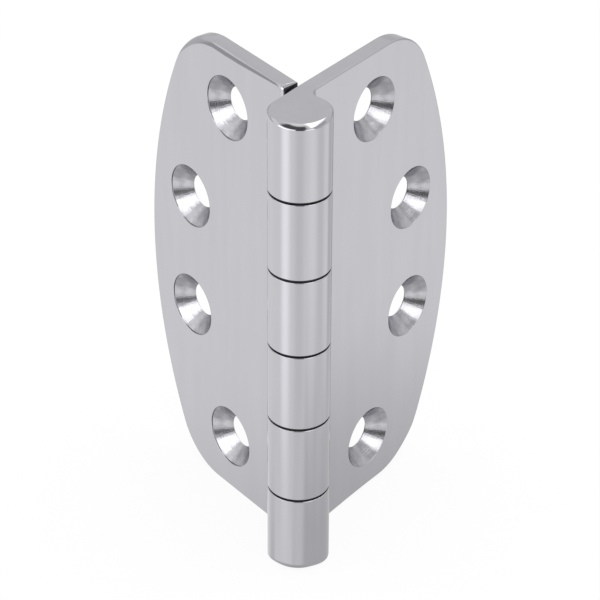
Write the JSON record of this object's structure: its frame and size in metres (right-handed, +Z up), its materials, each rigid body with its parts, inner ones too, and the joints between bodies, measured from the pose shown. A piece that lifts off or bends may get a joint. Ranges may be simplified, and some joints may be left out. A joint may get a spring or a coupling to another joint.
{
  "type": "crescent butt hinge",
  "caption": "Stainless butt hinge with crescent-shaped leaves, countersunk screw holes and an interleaved knuckle barrel, opened past flat to its stop.",
  "frame": {"origin": "centre of the frame leaf's outer pair of screw holes, on the leaf's back face, at mid-height", "axes": "+Z up along the barrel, +Y out of the frame leaf's back face into the door frame, -X from the barrel along the frame leaf; the door leaf is turned about the barrel to its full opening"},
  "size_m": [0.0578, 0.0553, 0.1],
  "materials": {
    "polished_steel": "fine polished stainless",
    "pin_steel": "turned stainless",
    "bush_plastic": "dark self-lubricating plastic"
  },
  "bodies": {
    "frame": {"frame_leaf": "polished_steel", "hinge_pin": "pin_steel", "end_plug": "pin_steel"},
    "door": {"door_leaf": "polished_steel", "flanged_bush_1": "bush_plastic", "flanged_bush_2": "bush_plastic", "flanged_bush_3": "bush_plastic", "flanged_bush_4": "bush_plastic", "flanged_bush_5": "bush_plastic"}
  },
  "joints": [
    {"name": "leaf_swing", "type": "hinge", "parent": "frame", "child": "door", "pos_m": [0.0263, -0.00605, 0], "axis": [0, 0, 1], "range_deg": [-285, 0]}
  ]
}
